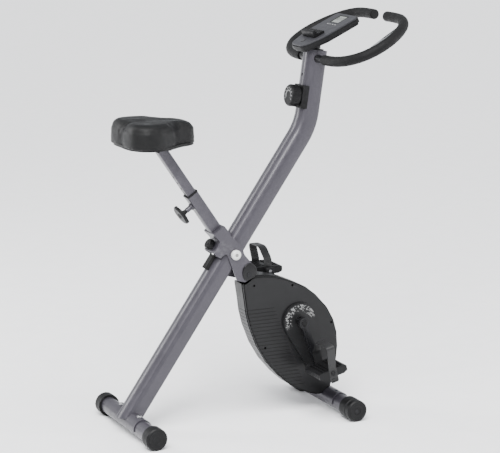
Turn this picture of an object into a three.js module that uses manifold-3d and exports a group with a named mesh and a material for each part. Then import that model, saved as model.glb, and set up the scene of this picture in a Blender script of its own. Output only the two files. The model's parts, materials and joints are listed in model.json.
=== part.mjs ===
// Folding exercise bike: main frame, front frame, seat, crank drive and handlebar as separate pieces.
// Millimetres. +X is the way the rider faces, +Y the rider's left, +Z up.
import * as THREE from 'three';
import Module from 'manifold-3d';

const wasm = await Module();
wasm.setup();

// ---------------------------------------------------------------- sizes
const gap = 0.3;              // clearance between neighbouring pieces
const foot_half = 193.5;      // half length of a foot over its caps
const foot_tube = 48;         // foot tube diameter
const foot_wall = 2;
const cap_d = 62;             // foot cap diameter
const cap_len = 34;
const main_angle = 55.3;      // main tube, degrees from the floor
const post_angle = 81.7;      // upper end of the main tube
const run_low = 952;          // rear foot to the bend
const post_len = 211;         // bend to the top of the post
const bend_r = 170;
const tube_w = 58;            // main tube width, side to side
const tube_d = 56;            // main tube depth, front to back
const tube_wall = 2;
const pivot_at = 540;         // rear foot to the pivot, along the main tube
const pivot_off = 9;          // pivot in front of the tube's centre line
const pivot_d = 12;
const sleeve_d = 20;
const plate_t = 3;            // bracket side plate
const seat_angle = 124.3;     // seat tube
const seat_out = 34;          // outer square tube
const seat_wall = 1.5;
const seat_foot = 86;         // pivot to the bracket's top plate
const seat_top = 211;         // pivot to the top of the outer tube
const post_top = 368;         // pivot to the saddle
const post_in = 132;          // pivot to the lower end of the seat post
const pin_at = 181;           // pivot to the height pin
const pin_d = 8;
const hole_step = 20;         // between the height holes
const hole_n = 7;
const saddle_l = 229;
const saddle_w = 240;
const saddle_h = 58;
const leg_angle = 55.9;       // front leg, pivot to front foot
const house_t = 63;           // housing, side to side
const house_wall = 2.5;
const spine_w = 22;
const spine_d = 40;
const crank_r = 136;          // crank arm, centre to pedal spindle
const crank_pose = -70.4;     // near crank's rest angle
const arm_y = 56;             // inner face of a crank arm
const arm_t = 12;
const axle_d = 17;
const pulley_r = 72;
const small_r = 11;
const fly_r = 78;
const fly_t = 12;
const pedal_l = 88;
const pedal_w = 88;
const pedal_t = 22;
const bar_d = 22;             // handlebar tube
const foam_t = 3;
const bar_half = 222;         // handlebar half width at its centre line
const bar_deep = 238;         // handlebar, post to front
const bar_tilt = 27.1;
const bar_wall = 2;
const plate_lip = 1.5;        // pulse plate's edge inside the foam
const strap_w = 24;
const strap_in = 4;           // strap recess in the pedal's side
const strap_rise = { right: 87, left: 62 };   // each strap is laced to its own length
const strap_out = 22;         // strap leans out past the pedal
const strap_tail = 14;
const pin = 10;               // pedal spindle diameter
const shoe_a0 = 150, shoe_a1 = 190;   // arc covered by the magnet shoe
const con_l = 182;            // console
const con_w = 126;
const con_t = 22;
const con_tilt = 25.4;
const knob_d = 60;            // tension knob
const knob_len = 30;
const knob_at = 78;           // bend to the knob
const hole_at = 138;          // bend to the small hole above it
const stem_d = 16;
const neck_h = 20;            // post to console

// ---------------------------------------------------------------- helpers
const rad = (d) => d * Math.PI / 180;
const V = (x, y, z) => new THREE.Vector3(x, y, z);

function solid(geo) {
  const g = mergeByPosition(geo);
  const mesh = new wasm.Mesh({ numProp: 3, vertProperties: g.v, triVerts: g.t });
  return new wasm.Manifold(mesh);
}
function mergeByPosition(geo) {
  const p = geo.attributes.position.array;
  const n = geo.index ? geo.index.count : p.length / 3;
  const key = new Map(), v = [], t = [];
  for (let i = 0; i < n; i++) {
    const j = geo.index ? geo.index.getX(i) : i;
    const k = [p[3 * j], p[3 * j + 1], p[3 * j + 2]].map((q) => Math.round(q * 1e4)).join();
    if (!key.has(k)) { key.set(k, v.length / 3); v.push(p[3 * j], p[3 * j + 1], p[3 * j + 2]); }
    t.push(key.get(k));
  }
  const out = [];
  for (let i = 0; i < t.length; i += 3) {
    if (t[i] !== t[i + 1] && t[i + 1] !== t[i + 2] && t[i] !== t[i + 2]) out.push(t[i], t[i + 1], t[i + 2]);
  }
  return { v: new Float32Array(v), t: new Uint32Array(out) };
}
function geometry(man) {
  const m = man.getMesh();
  const g = new THREE.BufferGeometry();
  const v = m.vertProperties, n = m.numProp, pos = new Float32Array(v.length / n * 3);
  for (let i = 0; i < v.length / n; i++) for (let k = 0; k < 3; k++) pos[3 * i + k] = v[n * i + k];
  g.setAttribute('position', new THREE.BufferAttribute(pos, 3));
  g.setIndex(new THREE.BufferAttribute(new Uint32Array(m.triVerts), 1));
  return g;
}
const order = (a, b) => (a < b ? [a, b] : [b, a]);
const join = (...a) => a.flat().reduce((s, b) => s.add(b));
const cut = (a, ...b) => b.flat().reduce((s, c) => s.subtract(c), a);

// A frame: origin and three axes, as a matrix.
function frame(o, ex, ey, ez) {
  return new THREE.Matrix4().makeBasis(ex, ey, ez).setPosition(o);
}
// Frame in the side plane: local x along angle a, local y to the rider's left, local z at right angles.
function side(x, z, a) {
  const ex = V(Math.cos(rad(a)), 0, Math.sin(rad(a)));
  const ey = V(0, 1, 0);
  return frame(V(x, 0, z), ex, ey, ex.clone().cross(ey));
}
const at = (m, x, y, z) => V(x, y, z).applyMatrix4(m);

function box(x0, x1, y0, y1, z0, z1, m) {
  const g = new THREE.BoxGeometry(x1 - x0, y1 - y0, z1 - z0);
  g.translate((x0 + x1) / 2, (y0 + y1) / 2, (z0 + z1) / 2);
  if (m) g.applyMatrix4(m);
  return solid(g);
}
// Cylinder or cone from point a to point b.
function rod(a, b, r, n = 16, r2 = r) {
  const d = b.clone().sub(a), g = new THREE.CylinderGeometry(r2, r, d.length(), n, 1);
  g.rotateX(Math.PI / 2);
  g.translate(0, 0, d.length() / 2);
  const q = new THREE.Quaternion().setFromUnitVectors(V(0, 0, 1), d.clone().normalize());
  g.applyQuaternion(q);
  g.translate(a.x, a.y, a.z);
  return solid(g);
}
const rodY = (x, z, y0, y1, r, n = 16, r2 = r) => rod(V(x, y0, z), V(x, y1, z), r, n, r2);

// Closed outline with rounded corners: each point is [x, y, radius].
function rounded(pts, per = 4) {
  const out = [], n = pts.length;
  for (let i = 0; i < n; i++) {
    const p = new THREE.Vector2(pts[i][0], pts[i][1]);
    const r = pts[i][2] || 0;
    if (!r) { out.push(p); continue; }
    const a = new THREE.Vector2(...pts[(i + n - 1) % n]).sub(p).normalize();
    const b = new THREE.Vector2(...pts[(i + 1) % n]).sub(p).normalize();
    const half = Math.acos(THREE.MathUtils.clamp(a.dot(b), -1, 1)) / 2;
    const mid = a.clone().add(b).normalize();
    const c = p.clone().add(mid.multiplyScalar(r / Math.sin(half)));
    const s = p.clone().add(a.clone().multiplyScalar(r / Math.tan(half))).sub(c);
    const e = p.clone().add(b.clone().multiplyScalar(r / Math.tan(half))).sub(c);
    const turn = Math.atan2(s.x * e.y - s.y * e.x, s.dot(e));
    for (let k = 0; k <= per; k++) {
      const q = turn * k / per, cs = Math.cos(q), sn = Math.sin(q);
      out.push(new THREE.Vector2(c.x + s.x * cs - s.y * sn, c.y + s.x * sn + s.y * cs));
    }
  }
  return out;
}
// Flat outline (local x, z) made solid from y0 to y1 in the frame m.
function slab(pts, y0, y1, m) {
  const g = new THREE.ExtrudeGeometry(new THREE.Shape(pts), { depth: y1 - y0, bevelEnabled: false });
  g.rotateX(Math.PI / 2);
  g.translate(0, y1, 0);
  if (m) g.applyMatrix4(m);
  return solid(g);
}
// Outline (local x, y) made solid from z0 to z1 in the frame m.
function block(pts, z0, z1, m) {
  const g = new THREE.ExtrudeGeometry(new THREE.Shape(pts), { depth: z1 - z0, bevelEnabled: false });
  g.translate(0, 0, z0);
  if (m) g.applyMatrix4(m);
  return solid(g);
}

// A path given by its own sample points, swept with a flat outline.
class Route extends THREE.Curve {
  constructor(pts, tans) { super(); this.pts = pts; this.tans = tans; }
  index(u) { return Math.round(u * (this.pts.length - 1)); }
  getPoint(u) { return this.pts[this.index(u)].clone(); }
  getPointAt(u) { return this.getPoint(u); }
  getTangentAt(u) { return this.tans[this.index(u)].clone(); }
  getTangent(u) { return this.getTangentAt(u); }
}
function sweep(route, outline) {
  const g = new THREE.ExtrudeGeometry(new THREE.Shape(outline),
    { steps: route.pts.length - 1, extrudePath: route, bevelEnabled: false });
  return solid(g);
}
const ring = (r, n = 16) => Array.from({ length: n },
  (_, i) => new THREE.Vector2(r * Math.cos(2 * Math.PI * i / n), r * Math.sin(2 * Math.PI * i / n)));
const ringRound = (r, n) => ring(r / Math.cos(Math.PI / n), n);       // flats clear a circle of radius r
// Solid of turning: profile [radius, height] about the line through o along ez.
function turned(profile, m, n = 32) {
  const g = new THREE.LatheGeometry([...profile, profile[0]].map(([r, h]) => new THREE.Vector2(r, h)), n);
  g.rotateX(Math.PI / 2);
  if (m) g.applyMatrix4(m);
  return solid(g);
}

const bike = new THREE.Group();
bike.name = 'exercise_bike';
function add(name, man, color, roughness = 0.5, metalness = 0) {
  const mesh = new THREE.Mesh(geometry(man), new THREE.MeshStandardMaterial({ color, roughness, metalness }));
  mesh.name = name;
  bike.add(mesh);
}
const paint = 0x8e8a93, black = 0x1c1d1f, rubber = 0x232426, steel = 0xb9bcc0, dark = 0x2b2c2f;

// ---------------------------------------------------------------- key points
const foot_z = cap_d / 2;
const rear = V(0, 0, foot_z);                         // rear foot axis, moved into place at the end
const off_line = 12;                                  // main tube's line passes above the foot axis
const along = V(Math.cos(rad(main_angle)), 0, Math.sin(rad(main_angle)));
const back = V(-along.z, 0, along.x);                 // out of the main tube's rear face
const line0 = rear.clone().addScaledVector(back, off_line);
const onMain = (t, n = 0, y = 0) => line0.clone().addScaledVector(along, t).addScaledVector(back, -n).setY(y);
const pivot = onMain(pivot_at, pivot_off);
const bend = onMain(run_low);
const up = V(Math.cos(rad(post_angle)), 0, Math.sin(rad(post_angle)));
const upBack = V(-up.z, 0, up.x);
const onPost = (t, n = 0, y = 0) => bend.clone().addScaledVector(up, t).addScaledVector(upBack, -n).setY(y);
const seatDir = V(Math.cos(rad(seat_angle)), 0, Math.sin(rad(seat_angle)));
const seatBack = V(-seatDir.z, 0, seatDir.x);         // out of the seat tube's lower rear face
const onSeat = (s, e = 0, y = 0) => pivot.clone().addScaledVector(seatDir, s).addScaledVector(seatBack, -e).setY(y);
const drop = pivot.z - foot_z;
const front = V(pivot.x + drop / Math.tan(rad(leg_angle)), 0, foot_z);
const legDir = front.clone().sub(pivot).normalize();
const legUp = V(-legDir.z, 0, legDir.x);              // towards the front and up
const leg_len = front.distanceTo(pivot);
const onLeg = (s, e = 0, y = 0) => pivot.clone().addScaledVector(legDir, s).addScaledVector(legUp, e).setY(y);
const k = drop / 443;                                 // housing follows the leg's height
const fromPivot = (dx, dz) => V(pivot.x + dx * k, 0, pivot.z + dz * k);
const hub = fromPivot(196, -207);
const fly = fromPivot(204, -303);

// ---------------------------------------------------------------- main tube
const tubeShape = (w, d, rf, rb) => rounded([
  [-w / 2, -d / 2, rb], [w / 2, -d / 2, rb], [w / 2, d / 2, rf], [-w / 2, d / 2, rf]], 3);
function mainRoute(t0, t1) {
  const turn = rad(post_angle - main_angle), tan = bend_r * Math.tan(turn / 2), pts = [], tans = [];
  pts.push(onMain(t0)); tans.push(along.clone());
  const c = onMain(run_low - tan).addScaledVector(back, bend_r);
  for (let i = 0; i <= 5; i++) {
    const a = rad(main_angle) + turn * i / 5;
    const dir = V(Math.cos(a), 0, Math.sin(a)), out = V(-dir.z, 0, dir.x);
    pts.push(c.clone().addScaledVector(out, -bend_r)); tans.push(dir);
  }
  pts.push(onPost(t1)); tans.push(up.clone());
  return new Route(pts, tans);
}
const cradle_r = foot_tube / 2 + gap;
const cradle_t = 3;
const bolt_y = 65, bolt_r = 4, wheel_pin = 10;
const top_t = post_len;
// Cradle: part of a ring over a foot tube, opening downwards, with bolt holes.
function cradle(c, half) {
  const r0 = cradle_r, r1 = cradle_r + cradle_t;
  const ringPart = cut(rodY(c.x, c.z, -half, half, r1, 28), rodY(c.x, c.z, -half - 1, half + 1, r0, 28));
  const keep = box(-60, 60, -half - 2, half + 2, -4, 60, side(c.x, c.z, 0));
  return cut(ringPart.intersect(keep),
    [-1, 1].map((s) => rod(V(c.x, s * bolt_y, c.z), V(c.x, s * bolt_y, c.z + 60), bolt_r + gap, 10)));
}
let mainTube = sweep(mainRoute(-10, top_t), tubeShape(tube_w, tube_d, 7, 24));
mainTube = mainTube.subtract(sweep(mainRoute(-12, top_t + 2),
  tubeShape(tube_w - 2 * tube_wall, tube_d - 2 * tube_wall, 7 - tube_wall, 24 - tube_wall)));
const bar_at = post_len - 23;                         // handlebar passes through the post here
const lock_t = pivot_at - 12;
mainTube = cut(mainTube,
  rodY(rear.x, rear.z, -100, 100, cradle_r + 1, 28),
  box(-200, 200, -100, 100, -200, rear.z + 15));
// Welded to it: a bush for the pivot and the cradle over the rear foot.
const sleeve_half = tube_w / 2 + 0.6;
mainTube = join(mainTube, rodY(pivot.x, pivot.z, -sleeve_half, sleeve_half, sleeve_d / 2), cradle(rear, 90));
mainTube = cut(mainTube,
  rodY(pivot.x, pivot.z, -40, 40, pivot_d / 2 + gap),
  rodY(onPost(bar_at).x, onPost(bar_at).z, -40, 40, bar_d / 2 + gap),
  rod(onPost(knob_at, -tube_d), onPost(knob_at, 0), stem_d / 2 + gap),
  rod(onPost(hole_at, -tube_d), onPost(hole_at, 0), 4.5, 12),
  rod(onMain(lock_t, -tube_d), onMain(lock_t, 0), pin_d / 2 + gap, 12));
add('main_tube', mainTube, paint, 0.45, 0.35);

// ---------------------------------------------------------------- feet
function capShape(x, z, y0, y1, n, r) {               // flats round the cap, small chamfer at the outer end
  const s = Math.sign(y1 - y0);
  return join(rodY(x, z, y0, y1 - 3 * s, r, n), rodY(x, z, y1 - 3 * s - 0.01 * s, y1, r, n, r - 3));
}
function foot(c, name, wheels) {
  const end = wheels ? foot_half - 20 : foot_half;    // the front caps carry a wheel outside
  const tubeHalf = end - 4 - gap, r = foot_tube / 2;
  const tube = cut(rodY(c.x, c.z, -tubeHalf, tubeHalf, r, 24), rodY(c.x, c.z, -300, 300, r - foot_wall, 24));
  const bolts = [-1, 1].map((s) => rod(V(c.x, s * bolt_y, c.z - r - 6), V(c.x, s * bolt_y, c.z + r + 6), bolt_r + gap, 10));
  add(`${name}_tube`, cut(tube, bolts), paint, 0.45, 0.35);
  for (const [s, w] of [[-1, 'right'], [1, 'left']]) {
    let cap = cut(capShape(c.x, c.z, s * (end - cap_len), s * end, 16, cap_d / 2),
      rodY(c.x, c.z, s * (end - cap_len - 1), s * (end - 4), r + gap, 28));
    if (wheels) {                                     // stub the wheel turns on, with a flat head
      cap = join(cap, rodY(c.x, c.z, s * (end - 1), s * (foot_half - 2.5), wheel_pin / 2, 12),
        rodY(c.x, c.z, s * (foot_half - 2.6), s * (foot_half - 0.4), 8, 12));
    }
    add(`${name}_cap_${w}`, cap, black, 0.6);
  }
}
foot(rear, 'rear_foot', false);
foot(front, 'front_foot', true);
add('front_cradle', cradle(front, 90), paint, 0.45, 0.35);
function footBolts(c, name) {
  for (const [s, w] of [[-1, 'right'], [1, 'left']]) {
    const y = s * bolt_y, z1 = c.z + cradle_r + cradle_t, z0 = c.z - foot_tube / 2;
    const b = join(rod(V(c.x, y, z0 - 2), V(c.x, y, z1 + 4), bolt_r, 12),
      rod(V(c.x, y, z1 + gap), V(c.x, y, z1 + 6), 7, 6), rod(V(c.x, y, z0 - 3), V(c.x, y, z0 - gap), 8, 12));
    add(`${name}_bolt_${w}`, b, steel, 0.3, 0.9);
  }
}
footBolts(rear, 'rear_foot');
for (const [s, w] of [[-1, 'right'], [1, 'left']]) {  // transport wheels outside the front caps
  const y0 = s * (foot_half - 19), y1 = s * foot_half, r = foot_z - 0.6;
  const tread = join(rodY(front.x, front.z, y0, y1 - s * 3, r, 24), rodY(front.x, front.z, y1 - s * 3.1, y1, r, 24, r - 3));
  add(`wheel_${w}`, cut(tread, rodY(front.x, front.z, y0 - s, y1 + s, wheel_pin / 2 + gap, 12),
    rodY(front.x, front.z, y1 - s * 3, y1 + s, 9, 12)), black, 0.65);
}

// ---------------------------------------------------------------- pivot bracket, front frame
const plate_in = tube_w / 2 + 1.5, plate_out = plate_in + plate_t;
const p2 = (v) => new THREE.Vector2(v.x, v.z);
const web_n = 47;
const T = (t, n) => p2(onMain(pivot_at + t, n));
const S = (s, e) => p2(onSeat(s, e));
const L = (s, e) => p2(onLeg(s, e));
const plate = [T(-31, -web_n - plate_t), T(-31, -24), T(-8, -17), T(-24, 4), L(64, -38), L(84, -21), L(86, 19),
  L(58, 26), T(14, 32), T(31, 12), T(35, -30), S(seat_foot - 26, 21), S(seat_foot + 3, 20),
  S(seat_foot + 3, -20), T(6, -web_n - plate_t)];
const corner = [6, 3, 6, 10, 7, 8, 10, 10, 20, 20, 12, 8, 3, 3, 6];
const plateShape = rounded(plate.map((p, i) => [p.x, p.y, corner[i]]), 2);
// Where the lines a-b and c-d meet, in the side view.
function meet(a, b, c, d) {
  const u = b.clone().sub(a), v = d.clone().sub(c), w = c.clone().sub(a);
  return a.clone().addScaledVector(u, (w.x * v.y - w.y * v.x) / (u.x * v.y - u.y * v.x));
}
const lug = onLeg(74, 0);
const heel = T(6, -web_n - plate_t), topBack = S(seat_foot + 3, -20);
const wallIn = topBack.clone().sub(heel).rotateAround(new THREE.Vector2(), -Math.PI / 2).setLength(plate_t);
const inA = heel.clone().add(wallIn), inB = topBack.clone().add(wallIn);
const inside = [T(-45, -web_n), meet(T(-45, -web_n), T(0, -web_n), inA, inB),
  meet(S(seat_foot, -40), S(seat_foot, 40), inA, inB), S(seat_foot, 60),
  p2(V(pivot.x + 150, 0, pivot.z + 60)), p2(V(pivot.x + 150, 0, pivot.z - 150)), p2(V(pivot.x - 60, 0, pivot.z - 150))];
let bracket = cut(slab(plateShape, -plate_out, plate_out), slab(inside, -plate_in, plate_in));
bracket = join(bracket, rod(onMain(lock_t, -web_n - 1), onMain(lock_t, -web_n - 6), 9));
bracket = cut(bracket, rodY(pivot.x, pivot.z, -60, 60, pivot_d / 2 + gap),
  rodY(lug.x, lug.z, -60, 60, 5 + gap, 12), rod(onMain(lock_t, -90), onMain(lock_t, -20), pin_d / 2 + gap, 12));
add('pivot_bracket', bracket, paint, 0.45, 0.35);
// Pivot bolt, a head at each side, under white caps.
const head_y = plate_out + gap;
const bolt = (c, r, head, t) => join(rodY(c.x, c.z, -head_y - 1, head_y + 1, r),
  rodY(c.x, c.z, -head_y - t, -head_y, head, 6), rodY(c.x, c.z, head_y, head_y + t, head, 6));
add('pivot_bolt', bolt(pivot, pivot_d / 2, 10, 6), steel, 0.3, 0.9);
for (const [s, w] of [[-1, 'right'], [1, 'left']]) {
  const y = (v) => s * (head_y + v);
  const dome = join(rodY(pivot.x, pivot.z, y(0), y(7), 14, 20), rodY(pivot.x, pivot.z, y(6.9), y(10), 14, 20, 10.5));
  add(`pivot_cap_${w}`, cut(dome, rodY(pivot.x, pivot.z, y(-1), y(8), 10 + gap + 0.4)), 0xe6e6e4, 0.35);
}
// Rubber stop on the main tube under the bracket.
const stop_face = -tube_d / 2 - gap;
add('fold_stop', box(pivot_at - 76, pivot_at - 31 - gap, -11, 11, -stop_face, -stop_face + 10,
  frame(line0.clone(), along, V(0, 1, 0), back)), black, 0.8);

// Sprung lock pin in the bracket's boss, its tip at the main tube's hole.
const LP = (n0, n1, r, n = 16, r2 = r) => rod(onMain(lock_t, -n0), onMain(lock_t, -n1), r, n, r2);
add('lock_pin', join(LP(tube_d / 2 + 1.5, web_n + 10, pin_d / 2, 12), LP(web_n + 6.6, web_n + 21, 15, 20, 13.5)), black, 0.5);

// ---------------------------------------------------------------- seat tube, post and height pin
const SF = (s) => frame(onSeat(s), seatBack.clone().negate(), V(0, 1, 0), seatDir);  // local z along the tube
const square = (w, r) => rounded([[-w / 2, -w / 2, r], [w / 2, -w / 2, r], [w / 2, w / 2, r], [-w / 2, w / 2, r]], 2);
const hollow = (w, r, t, z0, z1, m) => cut(block(square(w, r), z0, z1, m),
  block(square(w - 2 * t, Math.max(r - t, 0.8)), z0 - 1, z1 + 1, m));
const seat_start = seat_foot + plate_t + gap;
const seatHole = (r) => rod(onSeat(pin_at, -2 * seat_out), onSeat(pin_at, 0), r, 12);
const pinFace = seat_out / 2;
const SP = (s, e0, e1, r, n = 16, r2 = r) => rod(onSeat(s, -e0), onSeat(s, -e1), r, n, r2);
const barrel = join(SP(pin_at, pinFace - 1, pinFace + 5, 10), SP(pin_at, pinFace + 4.9, pinFace + 20, 7, 16));
add('seat_tube', cut(join(hollow(seat_out, 4, seat_wall, seat_start, seat_top, SF(0)),
  cut(barrel, SP(pin_at, 0, pinFace - seat_wall + 0.2, 30))), seatHole(pin_d / 2 + gap)), paint, 0.45, 0.35);
const liner_o = seat_out - 2 * seat_wall - 2 * gap, liner_t = 1.2, liner_i = liner_o - 2 * liner_t;
add('seat_liner', cut(join(block(square(liner_o, 2.4), seat_top - 70, seat_top + gap + 0.01, SF(0)),
  block(square(seat_out + 2, 4.6), seat_top + gap, seat_top + 4, SF(0))),
block(square(liner_i, 1.4), 0, seat_top + 10, SF(0)), seatHole(pin_d / 2 + 1.2)), black, 0.6);
const post_w = liner_i - 2 * gap;
const postHoles = [];
for (let i = 0; i < hole_n; i++) {
  const s = pin_at + (i - 1) * hole_step;
  postHoles.push(rod(onSeat(s, -seat_out), onSeat(s, 0), pin_d / 2 + gap, 10));
}
const plug = block(square(post_w - 0.2, 1.2), post_top - 3.1, post_top - 0.1, SF(0));
add('seat_post', join(cut(hollow(post_w, 1.4, 1.5, post_in, post_top, SF(0)), postHoles), plug), paint, 0.4, 0.4);
// Height pin: sprung pin with a disc knob, its tip at the post.
const kn = pinFace + 20.6;
add('height_pin', join(SP(pin_at, post_w / 2 + gap, kn + 6, pin_d / 2, 12), SP(pin_at, kn, kn + 14, 5.6, 12, 9),
  SP(pin_at, kn + 13.9, kn + 20, 27, 24, 29), SP(pin_at, kn + 19.9, kn + 23, 29, 24, 25)), black, 0.45);
// Saddle: steel mounting plate, moulded pan, soft pad.
const seatEnd = onSeat(post_top, 0);
const sx = seatEnd.x - 8, mount_z = seatEnd.z + seat_out * 0.28;
add('saddle_clamp', cut(join(box(sx - 55, sx + 55, -32, 32, mount_z, mount_z + 3),
  box(seatEnd.x - 25, seatEnd.x + 25, -post_w / 2 - 3.3, post_w / 2 + 3.3, mount_z - 12, mount_z + 0.1)),
block(square(post_w + 2 * gap, 1.4), 0, post_top + gap, SF(0))), dark, 0.5, 0.6);
const saddleOutline = (g) => {                       // rear lobes, waist and nose
  const l = saddle_l / 2 - g, w = saddle_w / 2 - g;
  const half = [[l, 0], [l - 4, 0.22 * w], [l - 22, 0.42 * w], [0.45 * l, 0.56 * w], [0.05 * l, 0.86 * w],
    [-0.35 * l, 0.99 * w], [-0.68 * l, 0.93 * w], [-0.91 * l, 0.66 * w], [-0.98 * l, 0.3 * w]];
  const pts = [...half, [-0.97 * l, 0], ...half.slice(1).reverse().map(([x, y]) => [x, -y])];
  const c = new THREE.CatmullRomCurve3(pts.map(([x, y]) => V(x, y, 0)), true, 'centripetal');
  return c.getPoints(32).slice(0, -1).map((p) => new THREE.Vector2(p.x, p.y));
};
const SM = frame(V(sx - 5, 0, mount_z + 3 + gap), V(1, 0, 0), V(0, 1, 0), V(0, 0, 1));
add('saddle_pan', block(saddleOutline(10), 0, 8, SM), black, 0.6);
const padZ = 8 + gap;
// The pad's skirt hangs round the pan.
const pad = cut(join(block(saddleOutline(0), 1, padZ + saddle_h * 0.62, SM),
  block(saddleOutline(6), padZ + saddle_h * 0.61, padZ + saddle_h * 0.86, SM),
  block(saddleOutline(20), padZ + saddle_h * 0.85, padZ + saddle_h, SM)),
block(saddleOutline(10 - gap - 0.1), -1, padZ, SM));
add('saddle_pad', pad, 0x3a3a3c, 0.55);

// ---------------------------------------------------------------- leg inside the housing
const LF = frame(onLeg(0), legUp.clone().negate(), V(0, 1, 0), legDir);  // local z along the leg
const rectangle = (w, d, r) => rounded([[-w / 2, -d / 2, r], [w / 2, -d / 2, r], [w / 2, d / 2, r], [-w / 2, d / 2, r]], 2);
const s0 = 62, s1 = leg_len;
let spine = cut(block(rectangle(spine_d, spine_w, 4), s0, s1, LF),
  block(rectangle(spine_d - 4, spine_w - 4, 2), s0 + 26, s1, LF));
const hubMid = hub.clone().sub(pivot).dot(legDir);
spine = join(spine,
  block(rectangle(30, 2 * (plate_in - gap), 3), s0, s0 + 25, LF),
  rodY(hub.x, hub.z, -12.4, 12.4, 19, 20), rodY(fly.x, fly.z, -12.4, 12.4, 13),
  slab([L(hubMid - 34, 16), L(hubMid + 34, 16), new THREE.Vector2(hub.x + 12, hub.z - 12),
    new THREE.Vector2(hub.x - 4, hub.z + 17)], -5, 5));
// The magnet shoe swings about a stud on the leg, beside the flywheel.
const fly_y = -14;                                    // flywheel runs on the right of the leg
const shoeIn = fly_r + 3, shoeOut = fly_r + 12;
const swing = fly.clone().add(V((shoeIn + 5) * Math.cos(rad(shoe_a0)), 0, (shoeIn + 5) * Math.sin(rad(shoe_a0))));
const swing_s = swing.clone().sub(pivot).dot(legDir), swing_e = swing.clone().sub(pivot).dot(legUp);
spine = join(spine, slab([L(swing_s - 12, -18), L(swing_s + 12, -18), L(swing_s + 6, swing_e - 6), L(swing_s - 6, swing_e - 6)],
  -5, 5), rodY(swing.x, swing.z, fly_y - fly_t + 0.5, 0, 3, 12));
spine = cut(spine, rodY(front.x, front.z, -60, 60, cradle_r + cradle_t + gap, 28),
  rodY(hub.x, hub.z, -40, 40, 14 + gap, 20), rodY(fly.x, fly.z, -40, 40, 5 + gap),
  rodY(lug.x, lug.z, -60, 60, 5 + gap, 12));
add('leg_frame', spine, dark, 0.55, 0.5);
add('lug_bolt', bolt(lug, 5, 8.5, 5), dark, 0.4, 0.8);

// ---------------------------------------------------------------- housing
const rim = [[24, -62], [29, -128], [41, -200], [84, -300], [150, -376], [198, -409], [246, -430], [271, -433],
  [300, -414], [318, -341], [321, -262], [296, -190], [231, -121], [182, -95], [134, -76], [88, -67], [50, -67]];
const leafMid = fromPivot(178, -245);
function leaf(inset) {                                // leaf-shaped outline, drawn in towards its middle
  const c = new THREE.CatmullRomCurve3(rim.map(([x, z]) => fromPivot(x, z)), true, 'centripetal');
  const f = 1 - inset / (150 * k);
  return c.getPoints(32).slice(0, -1).map((p) =>
    new THREE.Vector2(leafMid.x + (p.x - leafMid.x) * f, leafMid.z + (p.z - leafMid.z) * f));
}
// Outline round two circles.
function pod(a, ra, b, rb, n = 14) {
  const d = b.clone().sub(a), dir = Math.atan2(d.z, d.x), lean = Math.acos((ra - rb) / d.length()), out = [];
  for (let i = 0; i <= n; i++) {
    const q = dir + lean + (2 * Math.PI - 2 * lean) * i / n;
    out.push(new THREE.Vector2(a.x + ra * Math.cos(q), a.z + ra * Math.sin(q)));
  }
  for (let i = 0; i <= n / 2; i++) {
    const q = dir - lean + 2 * lean * i / (n / 2);
    out.push(new THREE.Vector2(b.x + rb * Math.cos(q), b.z + rb * Math.sin(q)));
  }
  return out;
}
const face_y = house_t / 2, edge = 5;
const screwAt = [[176, -104], [300, -224], [92, -276], [58, -94]];
const reach = 152 * k, pod_h = 10, pod_r = 52, pod_r2 = 20;
const podEnd = V(hub.x + reach * Math.cos(rad(crank_pose)), 0, hub.z + reach * Math.sin(rad(crank_pose)));
const footRoom = rodY(front.x, front.z, -200, 200, cradle_r + cradle_t + 2, 28);
const plateRoom = slab(rounded([[-80, 40, 4], [92, 40, 8], [92, -22, 8], [60, -60, 4], [-80, -60, 4]].map(([q, e, r]) =>
  [...L(q, e).toArray(), r])), -60, 60);
for (const [s, w] of [[-1, 'right'], [1, 'left']]) {
  const Y = (a, b) => (s < 0 ? [-b, -a] : [a, b]);
  const shell = (d, y, steps) => join(steps.map(([a, b, i]) => slab(leaf(d + i), ...Y(Math.max(a * y, -2), b * y))));
  const round = [[-2, 0.7, 0], [0.69, 0.92, 2], [0.91, 1, edge]];
  const layer = (y0, y1, d) => slab(pod(hub, pod_r - d, podEnd, pod_r2 - d), ...Y(y0, y1));
  let cover = join(shell(0, face_y, round), layer(face_y - 4, face_y + pod_h - 2, 0),
    layer(face_y, face_y + pod_h, 2));
  cover = cut(cover, shell(house_wall, face_y - house_wall, [[-2, 0.72, 0], [0.7, 1, edge]]), layer(face_y - 12, face_y + pod_h - 3, 5),
    box(-900, 900, ...Y(-6, gap / 2), -90, 900), footRoom, rodY(hub.x, hub.z, ...Y(0, 80), axle_d / 2 + 3.5, 20),
    plateRoom);
  const bosses = screwAt.map(([x, z]) => fromPivot(x, z));
  cover = join(cover, [...bosses, onLeg(0.88 * leg_len)].map((b) => rodY(b.x, b.z, ...Y(gap / 2, face_y - 1.5), 5, 10)));
  cover = cut(cover, block(rectangle(spine_d + 3, spine_w + 2 * gap, 4), 30, leg_len, LF),
    bosses.map((b) => rodY(b.x, b.z, ...Y(-1, face_y + 1), 1.7, 8)),
    bosses.map((b) => rodY(b.x, b.z, ...Y(face_y - 5, face_y + 5), 3.6, 10)));
  add(`cover_${w}`, cover, dark, 0.42);
}

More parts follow.
